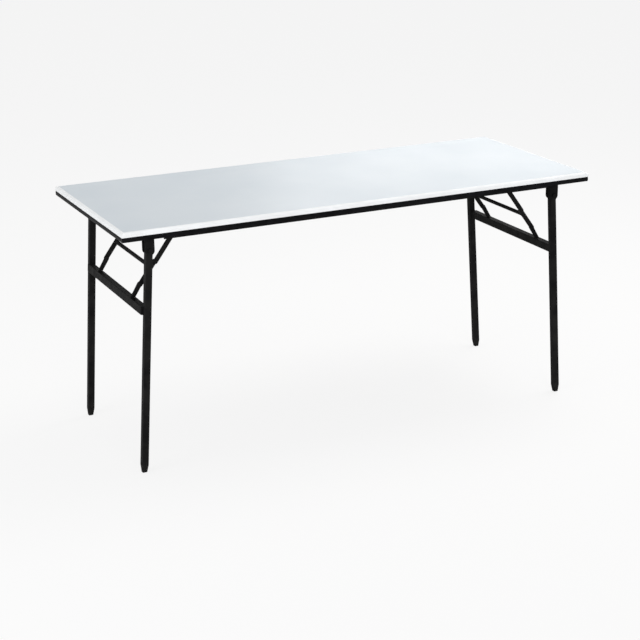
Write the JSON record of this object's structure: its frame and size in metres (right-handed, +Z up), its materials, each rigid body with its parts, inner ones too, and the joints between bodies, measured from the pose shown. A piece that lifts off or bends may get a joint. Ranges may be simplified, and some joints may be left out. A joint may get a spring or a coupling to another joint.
{
  "type": "folding banquet table",
  "caption": "Rectangular laminate-topped banquet table with black edge band, splayed square-tube legs and end frames that fold flat under the top on knee braces.",
  "frame": {"origin": "on the floor, under the middle of the top", "axes": "+X along the length to the right, +Y across the width to the back, +Z up"},
  "size_m": [1.524, 0.61, 0.736],
  "materials": {
    "laminate": "satin laminate",
    "core": "raw blockboard",
    "backing": "matte backing sheet",
    "nosing": "satin",
    "band": "satin black",
    "frame": "black powder coat",
    "foot": "moulded black",
    "zinc": "zinc plated",
    "bolt": "black zinc",
    "rivet": "black painted steel"
  },
  "bodies": {
    "tabletop": {"backing_laminate": "backing", "core_board": "core", "decor_laminate": "laminate", "edge_band_back": "band", "edge_band_front": "band", "edge_band_left": "band", "edge_band_right": "band", "edge_nosing_back": "nosing", "edge_nosing_front": "nosing", "edge_nosing_left": "nosing", "edge_nosing_right": "nosing", "hinge_bracket_left_back": "frame", "hinge_bracket_left_front": "frame", "hinge_bracket_right_back": "frame", "hinge_bracket_right_front": "frame", "hinge_bracket_screws": "zinc", "leg_pivot_bolts": "bolt", "leg_pivot_nuts": "bolt", "link_bracket_left_back": "frame", "link_bracket_left_front": "frame", "link_bracket_right_back": "frame", "link_bracket_right_front": "frame", "link_bracket_rivets": "rivet", "link_bracket_screws": "zinc", "rail_screws": "zinc", "side_rail_back": "frame", "side_rail_front": "frame"},
    "left_leg_frame": {"brace_lugs_left": "frame", "crossbar_left": "frame", "foot_left_back": "foot", "foot_left_front": "foot", "leg_left_back": "frame", "leg_left_front": "frame", "lug_rivets_left": "rivet", "pivot_bushes_left": "zinc"},
    "left_upper_links": {"upper_knee_rivets_left": "rivet", "upper_link_left_back": "frame", "upper_link_left_front": "frame"},
    "left_lower_links": {"knee_washers_left": "rivet", "lower_knee_rivets_left": "rivet", "lower_link_left_back": "frame", "lower_link_left_front": "frame", "tie_bar_left": "frame"},
    "right_leg_frame": {"brace_lugs_right": "frame", "crossbar_right": "frame", "foot_right_back": "foot", "foot_right_front": "foot", "leg_right_back": "frame", "leg_right_front": "frame", "lug_rivets_right": "rivet", "pivot_bushes_right": "zinc"},
    "right_upper_links": {"upper_knee_rivets_right": "rivet", "upper_link_right_back": "frame", "upper_link_right_front": "frame"},
    "right_lower_links": {"knee_washers_right": "rivet", "lower_knee_rivets_right": "rivet", "lower_link_right_back": "frame", "lower_link_right_front": "frame", "tie_bar_right": "frame"}
  },
  "joints": [
    {"name": "left_leg_fold", "type": "hinge", "parent": "tabletop", "child": "left_leg_frame", "pos_m": [-0.6676, 0, 0.663], "axis": [0, -1, 0], "range_deg": [0, 93.68]},
    {"name": "left_upper_link_fold", "type": "hinge", "parent": "tabletop", "child": "left_upper_links", "pos_m": [-0.55932, 0, 0.676], "axis": [0, -1, 0], "range_deg": [0, 126.31]},
    {"name": "left_lower_link_fold", "type": "hinge", "parent": "left_leg_frame", "child": "left_lower_links", "pos_m": [-0.6628, 0, 0.53513], "axis": [0, 1, 0], "range_deg": [0, 147.39]},
    {"name": "right_leg_fold", "type": "hinge", "parent": "tabletop", "child": "right_leg_frame", "pos_m": [0.6676, 0, 0.663], "axis": [0, 1, 0], "range_deg": [0, 93.68]},
    {"name": "right_upper_link_fold", "type": "hinge", "parent": "tabletop", "child": "right_upper_links", "pos_m": [0.55932, 0, 0.676], "axis": [0, 1, 0], "range_deg": [0, 126.31]},
    {"name": "right_lower_link_fold", "type": "hinge", "parent": "right_leg_frame", "child": "right_lower_links", "pos_m": [0.6628, 0, 0.53513], "axis": [0, -1, 0], "range_deg": [0, 147.39]}
  ],
  "couplings": [
    {"joint": "left_upper_link_fold", "follows": "left_leg_fold", "ratio": 1.3482},
    {"joint": "left_lower_link_fold", "follows": "left_leg_fold", "ratio": 1.5732},
    {"joint": "right_upper_link_fold", "follows": "right_leg_fold", "ratio": 1.3482},
    {"joint": "right_lower_link_fold", "follows": "right_leg_fold", "ratio": 1.5732}
  ]
}
